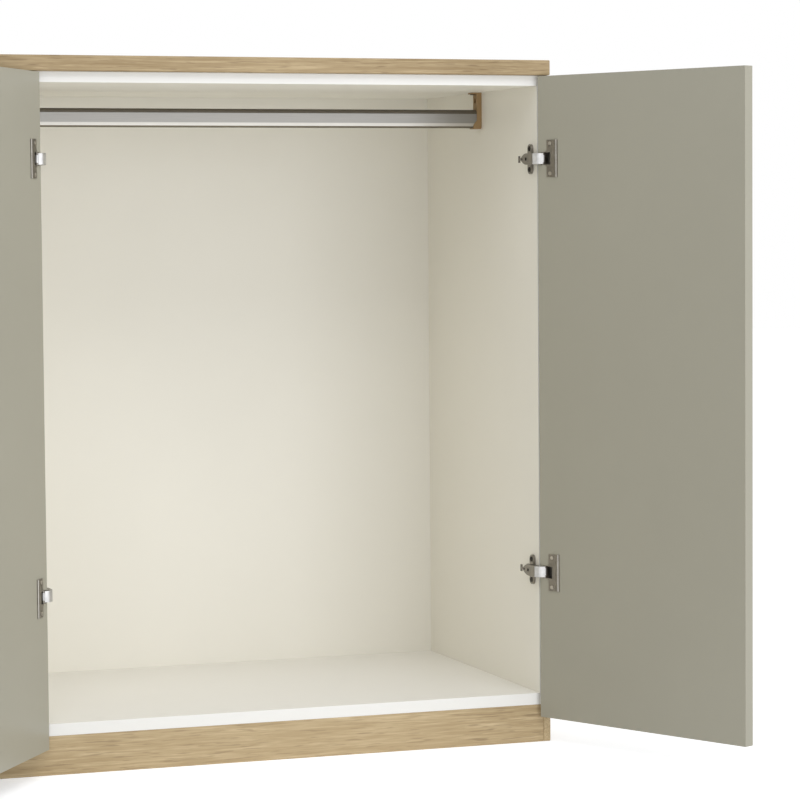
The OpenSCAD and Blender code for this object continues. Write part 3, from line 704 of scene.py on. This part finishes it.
def eased_copy(node: str, name: str, ease_mm: float, segments: int = 2) -> bpy.types.Object:
    """Copies a CAD node's form and breaks its sharp edges.

    Args:
        node: The CAD node.
        name: Name of the piece.
        ease_mm: Width taken off each sharp edge.
        segments: Facets across an edge.

    Returns:
        The copy, with its own mesh.
    """
    source = frame["nodes"][node]
    piece = bpy.data.objects.new(name, source.data.copy())
    piece.data.name = name
    bpy.context.scene.collection.objects.link(piece)
    make_active(piece)
    bpy.ops.object.mode_set(mode="EDIT")
    bpy.ops.mesh.select_all(action="SELECT")
    bpy.ops.mesh.remove_doubles(threshold=CORNER_MM * MM)
    bpy.ops.mesh.dissolve_limited(angle_limit=math.radians(FLAT_DEGREES))
    bpy.ops.object.mode_set(mode="OBJECT")
    apply_modifier(
        piece, "BEVEL", width=ease_mm * MM, segments=segments, limit_method="ANGLE",
        angle_limit=math.radians(COPY_EDGE_DEGREES), use_clamp_overlap=True,
    )
    smooth_by_angle(piece, COPY_EDGE_DEGREES)
    flatten_faces(piece)
    return piece


@dataclass
class OakTop:
    """The oak board that covers all three bays."""

    edge_ease_mm: float = 1.5

    def build(self, palette: Palette) -> None:
        """Builds the board with its rubbed-down edges.

        Args:
            palette: The finishes.
        """
        low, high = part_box("oak_top")
        piece = eased_board("oak_board", low, high, self.edge_ease_mm, segments=4)
        dress(piece, palette.oak_top)
        stands_for(piece, "oak_top")


@dataclass
class Plinth:
    """The oak plinth: a front and a back board between two end boards."""

    edge_ease_mm: float = 0.7
    end_ease_mm: float = 1.3

    def build(self, palette: Palette) -> None:
        """Builds the four boards and dresses the braces.

        Args:
            palette: The finishes.
        """
        for node in ("plinth_front", "plinth_back"):
            low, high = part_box(node)
            piece = eased_board(f"{node}_board", low, high, self.edge_ease_mm)
            dress(piece, palette.oak_plinth)
            stands_for(piece, node)
        for node in ("plinth_end_left", "plinth_end_right"):
            low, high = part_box(node)
            piece = eased_board(f"{node}_board", low, high, self.end_ease_mm)
            dress(piece, palette.oak_end)
            stands_for(piece, node)
        dress_node("plinth_braces", palette.birch)


@dataclass
class Cases:
    """The lacquered boards of the hanging bay and the drawer bay, and the oak niche."""

    edge_ease_mm: float = 0.5
    white_boards: Sequence[str] = (
        "hanging_side_left", "hanging_side_right", "hanging_top", "hanging_floor",
        "drawer_case_left", "drawer_case_right", "drawer_case_top", "drawer_case_floor",
    )
    # These boards get the copy of the white lacquer with painted light.
    floors: Sequence[str] = ("hanging_floor", "drawer_case_floor")
    # The normal of a front edge points forward, which is -Y, by at least this much.
    front_facing: float = -0.9
    white_backs: Sequence[str] = ("hanging_back", "drawer_case_back")
    oak_boards: Sequence[str] = ("niche_top", "niche_floor")

    def build(self, palette: Palette) -> None:
        """Builds the boards and dresses the back panels.

        Args:
            palette: The finishes.
        """
        for node in self.white_boards:
            low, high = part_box(node)
            piece = eased_board(f"{node}_board", low, high, self.edge_ease_mm)
            dress(piece, palette.floor_white_painted_light if node in self.floors else palette.warm_white)
            self.band_front_edge(piece, palette.edge_white)
            stands_for(piece, node)
        for node in self.oak_boards:
            low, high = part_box(node)
            piece = eased_board(f"{node}_board", low, high, self.edge_ease_mm)
            dress(piece, palette.oak_niche)
            stands_for(piece, node)
        for node in self.white_backs:
            dress_node(node, palette.warm_white)
        dress_node("niche_back", palette.oak_niche_back)
        shelves = eased_copy("niche_shelves", "niche_shelf_boards", self.edge_ease_mm)
        dress(shelves, palette.oak_niche)
        stands_for(shelves, "niche_shelves")

    def band_front_edge(self, piece: bpy.types.Object, finish: bpy.types.Material) -> None:
        """Glues a plastic edge band to the front edge of a board.

        Args:
            piece: The board.
            finish: The band's finish.
        """
        give_faces(piece, finish, lambda face: face.normal.y < self.front_facing)


@dataclass
class HangingRail:
    """The flat rail with a dark strip on top, which paints the shade that its top reflects,
    between two moulded brackets.
    """

    bracket_ease_mm: float = 0.6

    def build(self, palette: Palette) -> None:
        """Dresses the rail and builds the soft-edged brackets.

        Args:
            palette: The finishes.
        """
        dress_node("hanging_rail", palette.anodised)
        # The dark strip on the rail's top paints a reflection of shade.
        dress_node("rail_cap", palette.reflected_shade_strip)
        piece = eased_copy("rail_brackets", "moulded_rail_brackets", self.bracket_ease_mm)
        dress(piece, palette.bracket)
        stands_for(piece, "rail_brackets")


@dataclass
class Door:
    """One door with the parts of its two hinges."""

    side: Side
    panel_ease_mm: float = 0.9
    fitting_ease_mm: float = 0.25
    link_ease_mm: float = 0.15
    pin_radius_mm: float = 1.4
    pin_half_length_mm: float = 8.7
    # The smooth skin over a link starts this far out from the line of its two pins.
    link_skin_start_mm: float = 2.95
    skin_half_height_mm: float = 9.5
    skin_sink_mm: float = 0.012
    skin_height_share: float = 0.996
    link_edge_degrees: float = 30.0
    # The flange of a cup faces away from its side panel, and its rib rises from there.
    flange_facing: float = -0.5
    # Rib faces this high over the flange and turned this far get the painted highlight.
    highlight_start_mm: float = 0.12
    highlight_turn: float = 0.33
    # An arm's opening, from the front edge of the side panels and from the arm's face inwards.
    slot_start_mm: float = 12.4
    slot_end_mm: float = 35.2
    slot_half_mm: float = 4.4
    slot_top_mm: float = 0.1
    slot_depth_mm: float = 4.5

    def build(self, palette: Palette) -> None:
        """Builds the panel, the cups, the links and the arms.

        Args:
            palette: The finishes.
        """
        side = self.side.value
        panel = eased_copy(
            f"door_{side}", f"door_{side}_panel", self.panel_ease_mm, segments=3
        )
        dress(panel, palette.greige)
        stands_for(panel, f"door_{side}")
        for node in (f"hinge_cups_{side}", f"hinge_arms_{side}"):
            piece = eased_copy(node, f"{node}_plated", self.fitting_ease_mm)
            dress(piece, palette.satin_nickel)
            if node.startswith("hinge_cups"):
                self.paint_rib_highlight(piece, palette.bright_nickel)
            else:
                self.shade_openings(piece, palette.recess_shade_steel)
            stands_for(piece, node)
        self.build_links(palette.link_nickel)
        dress_node(f"hinge_pins_{side}", palette.bright_nickel)
        dress_node(f"cup_screws_{side}", palette.screw_steel)

    def link_axes(self) -> tuple[Vector, Vector, float, float]:
        """Finds the two pins of the hinges from the box that they fill.

        Returns:
            The arm pin and the cup pin in plan, and the heights of the two hinges.
        """
        low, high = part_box(f"hinge_pins_{self.side.value}")
        inset = self.pin_radius_mm * MM
        half = self.pin_half_length_mm * MM
        xs = (low.x + inset, high.x - inset)
        if self.side is Side.LEFT:
            xs = (xs[1], xs[0])
        arm_pin = Vector((xs[0], high.y - inset, 0.0))
        cup_pin = Vector((xs[1], low.y + inset, 0.0))
        return arm_pin, cup_pin, low.z + half, high.z - half

    def build_links(self, finish: bpy.types.Material) -> None:
        """Builds the bent links with the outer face drawn smooth over both curls.

        Args:
            finish: The links' plating.
        """
        node = f"hinge_links_{self.side.value}"
        piece = eased_copy(node, f"{node}_bent", self.link_ease_mm)
        arm_pin, cup_pin, lower, upper = self.link_axes()
        along = (cup_pin - arm_pin).normalized()
        outward = Vector((along.y, -along.x, 0.0)) * self.side.sign
        cut = arm_pin + outward * self.link_skin_start_mm * MM
        up = Vector((0.0, 0.0, 1.0))
        half = up * self.skin_half_height_mm * MM
        for height in (lower, upper):
            skin = eased_copy(node, f"{node}_skin", self.link_ease_mm)
            bpy.ops.object.mode_set(mode="EDIT")
            middle = up * height
            for place, normal in ((cut, -outward), (middle + half, up), (middle - half, -up)):
                bpy.ops.mesh.select_all(action="SELECT")
                bpy.ops.mesh.bisect(
                    plane_co=place, plane_no=normal, use_fill=True, clear_outer=True
                )
            bpy.ops.mesh.select_all(action="SELECT")
            bpy.ops.mesh.convex_hull()
            # The skin lies a hair under the strip's own faces, so that none of them coincide.
            bpy.ops.mesh.select_all(action="SELECT")
            bpy.ops.transform.resize(
                value=(1.0, 1.0, self.skin_height_share), center_override=(0.0, 0.0, height)
            )
            bpy.ops.transform.translate(value=tuple(outward * -self.skin_sink_mm * MM))
            bpy.ops.object.mode_set(mode="OBJECT")
            apply_modifier(piece, "BOOLEAN", object=skin, operation="UNION", solver="EXACT")
            bpy.data.objects.remove(skin)
        smooth_by_angle(piece, self.link_edge_degrees)
        dress(piece, finish)
        stands_for(piece, node)

    def shade_openings(self, piece: bpy.types.Object, finish: bpy.types.Material) -> None:
        """Paints shade on the walls of an arm's two openings, with near-black steel.

        Args:
            piece: The arms of the door's hinges.
            finish: The near-black finish that paints the shade.
        """
        low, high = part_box(f"hinge_arms_{self.side.value}")
        arm_face = low.x if self.side is Side.RIGHT else high.x
        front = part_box("hanging_side_right")[0].y
        _, _, lower, upper = self.link_axes()

        def inside_opening(face: bpy.types.MeshPolygon) -> bool:
            """Tells a wall of an opening by where its middle lies.

            Args:
                face: A face of the arms.

            Returns:
                Whether the face lies in an opening.
            """
            depth = (face.center.x - arm_face) * self.side.sign / MM
            along = (face.center.y - front) / MM
            off_centre = min(abs(face.center.z - lower), abs(face.center.z - upper)) / MM
            return (
                self.slot_top_mm < depth < self.slot_depth_mm
                and off_centre < self.slot_half_mm
                and self.slot_start_mm < along < self.slot_end_mm
            )

        give_faces(piece, finish, inside_opening)

    def paint_rib_highlight(self, piece: bpy.types.Object, finish: bpy.types.Material) -> None:
        """Paints a highlight on the outer flank of the rib on a cup's flange, in the brighter
        plating.

        Args:
            piece: The cups of the door.
            finish: The brighter plating, which paints the highlight.
        """
        facing = [
            f for f in piece.data.polygons if f.normal.x * self.side.sign < self.flange_facing
        ]
        flange = max(facing, key=lambda face: face.area)
        flange_centre, flange_normal = flange.center.copy(), flange.normal.copy()

        def on_outer_flank(face: bpy.types.MeshPolygon) -> bool:
            """Tells the rib's outer flank by its height over the flange and its turn.

            Args:
                face: A face of the cups.

            Returns:
                Whether the face lies on the flank.
            """
            height = (face.center - flange_centre).dot(flange_normal)
            turned = flange_normal.y - face.normal.y
            return height > self.highlight_start_mm * MM and turned > self.highlight_turn

        give_faces(piece, finish, on_outer_flank)


@dataclass
class DrawerStack:
    """The four drawers."""

    count: int = 4
    front_ease_mm: float = 0.9
    box_ease_mm: float = 0.5

    def build(self, palette: Palette) -> None:
        """Builds the fronts and boxes and dresses the runners.

        Args:
            palette: The finishes.
        """
        for number in range(1, self.count + 1):
            low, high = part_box(f"drawer_{number}_front")
            piece = eased_board(f"drawer_{number}_front_panel", low, high, self.front_ease_mm)
            dress(piece, palette.greige)
            stands_for(piece, f"drawer_{number}_front")
            for part in ("sides", "back"):
                node = f"drawer_{number}_{part}"
                piece = eased_copy(node, f"{node}_boards", self.box_ease_mm)
                dress(piece, palette.birch)
                stands_for(piece, node)
            dress_node(f"drawer_{number}_bottom", palette.birch)
            dress_node(f"drawer_{number}_slides", palette.zinc)


@dataclass
class Fittings:
    """Small fittings shared by the bays."""

    plate_ease_mm: float = 0.3

    def build(self, palette: Palette) -> None:
        """Builds the mounting plates and dresses runners and screws.

        Args:
            palette: The finishes.
        """
        piece = eased_copy("hinge_plates", "hinge_plates_plated", self.plate_ease_mm)
        dress(piece, palette.satin_nickel)
        stands_for(piece, "hinge_plates")
        for node in ("case_runners", "top_screws"):
            dress_node(node, palette.zinc)
        # The screw heads get near-black steel, which paints the shade of their recesses.
        for node in ("case_screws", "arm_screws"):
            dress_node(node, palette.recess_shade_steel)


@dataclass(frozen=True)
class SoftBox:
    """A rectangular lamp with an even, soft light."""

    name: str
    place: Triple
    aim: Triple
    size: Pair
    watts: float

    def build(self, colour: str) -> None:
        """Adds the lamp, turned to the point that it faces.

        Args:
            colour: The lamp's colour as a hex value.
        """
        data = bpy.data.lights.new(self.name, "AREA")
        data.shape = "RECTANGLE"
        data.size, data.size_y = self.size
        data.energy = self.watts
        data.color = linear(colour)[:3]
        lamp = bpy.data.objects.new(self.name, data)
        bpy.context.scene.collection.objects.link(lamp)
        ahead = Vector(self.aim) - Vector(self.place)
        turn = ahead.to_track_quat("-Z", "Y").to_matrix().to_4x4()
        lamp.matrix_world = Matrix.Translation(self.place) @ turn


@dataclass
class Studio:
    """The pale floor, the soft lamps and the camera, which stands as fitted to the photo."""

    camera_place: Triple = (-1.0101, -4.527, 0.8084)
    yaw_deg: float = 19.308
    pitch_deg: float = 3.442
    roll_deg: float = 0.450
    lens_mm: float = 134.81
    sensor_mm: float = 36.0
    view_distance: float = 100.0
    white: str = "#FFFFFF"
    floor_size: float = 30.0
    floor_reflection: float = 0.94
    floor_lift: float = 0.38
    sky_strength: float = 0.72
    lamp_colour: str = "#F9FBFF"
    lamps: Sequence[SoftBox] = (
        SoftBox("front_soft_box", (2.2, -3.8, 1.2), (0.0, 0.0, 0.4), (3.0, 2.0), 17.0),
        SoftBox("high_soft_box", (0.55, -2.4, 3.7), (0.4, -0.6, 0.0), (4.0, 2.5), 69.0),
        SoftBox("low_soft_box", (1.6, -3.4, 0.25), (0.1, 0.0, 0.0), (3.5, 0.5), 16.0),
    )

    def build_camera(self) -> None:
        """Adds the camera at the photo's place and angle."""
        data = bpy.data.cameras.new("photo_camera")
        camera = bpy.data.objects.new("photo_camera", data)
        bpy.context.scene.collection.objects.link(camera)
        yaw, pitch, roll = map(math.radians, (self.yaw_deg, self.pitch_deg, self.roll_deg))
        flat = math.cos(pitch)
        ahead = Vector((math.sin(yaw) * flat, math.cos(yaw) * flat, -math.sin(pitch)))
        level = Vector((math.cos(yaw), -math.sin(yaw), 0.0))
        down = ahead.cross(level)
        right = level * math.cos(roll) + down * math.sin(roll)
        down = -level * math.sin(roll) + down * math.cos(roll)
        turn = Matrix((right, -down, -ahead)).transposed().to_4x4()
        camera.matrix_world = Matrix.Translation(self.camera_place) @ turn
        data.lens = self.lens_mm
        data.sensor_width = self.sensor_mm
        data.clip_end = self.view_distance
        bpy.context.scene.camera = camera

    def seen_rays(self, surround: bpy.types.Material | bpy.types.World) -> bpy.types.NodeSocket:
        """Tells rays that show the surroundings from rays that light the object.

        Args:
            surround: The floor's material or the world.

        Returns:
            A socket that is 1 for camera, glossy and transmission rays.
        """
        rays = add_node(surround, "ShaderNodeLightPath")
        seen = rays.outputs["Is Camera Ray"]
        for kind in ("Is Glossy Ray", "Is Transmission Ray"):
            seen = add_node(
                surround, "ShaderNodeMath", {0: seen, 1: rays.outputs[kind]}, operation="MAXIMUM"
            ).outputs[0]
        return seen

    def build_floor(self) -> None:
        """Adds the floor, which the camera sees nearly white with the object's soft shadow."""
        deselect_all()
        bpy.ops.mesh.primitive_plane_add(size=self.floor_size, location=(0.0, 0.0, 0.0))
        floor = bpy.context.active_object
        floor.name = "studio_floor"
        material = bpy.data.materials.new("pale_studio_floor")
        material.use_nodes = True
        material.node_tree.nodes.clear()
        pale = toned(self.white, self.floor_reflection)
        diffuse = add_node(material, "ShaderNodeBsdfDiffuse", {"Color": pale})
        lift = add_node(
            material,
            "ShaderNodeEmission",
            {"Color": linear(self.white), "Strength": self.floor_lift},
        )
        both = add_node(
            material, "ShaderNodeAddShader", {0: diffuse.outputs[0], 1: lift.outputs[0]}
        )
        chosen = add_node(
            material,
            "ShaderNodeMixShader",
            {0: self.seen_rays(material), 1: diffuse.outputs[0], 2: both.outputs[0]},
        )
        add_node(material, "ShaderNodeOutputMaterial", {"Surface": chosen.outputs[0]})
        dress(floor, material)

    def build_sky(self) -> None:
        """Sets the even surrounding light, white where it is seen."""
        world = bpy.data.worlds.new("studio_surround")
        bpy.context.scene.world = world
        world.use_nodes = True
        world.node_tree.nodes.clear()
        light = add_node(
            world,
            "ShaderNodeBackground",
            {"Color": linear(self.lamp_colour), "Strength": self.sky_strength},
        )
        white = add_node(
            world, "ShaderNodeBackground", {"Color": linear(self.white), "Strength": 1.0}
        )
        chosen = add_node(
            world,
            "ShaderNodeMixShader",
            {0: self.seen_rays(world), 1: light.outputs[0], 2: white.outputs[0]},
        )
        add_node(world, "ShaderNodeOutputWorld", {"Surface": chosen.outputs[0]})

    def build(self) -> None:
        """Builds camera, floor, surround and lamps."""
        bpy.context.scene.view_settings.view_transform = "Standard"
        self.build_camera()
        self.build_floor()
        self.build_sky()
        for lamp in self.lamps:
            lamp.build(self.lamp_colour)


def main() -> None:
    """Builds the cabinet's pieces in order and sets up the studio."""
    palette = Palette()
    pieces: list[OakTop | Plinth | Cases | HangingRail | Door | DrawerStack | Fittings] = [
        OakTop(),
        Plinth(),
        Cases(),
        HangingRail(),
        Door(Side.LEFT),
        Door(Side.RIGHT),
        DrawerStack(),
        Fittings(),
    ]
    for piece in pieces:
        piece.build(palette)
    Studio().build()


if __name__ == "__main__":
    main()
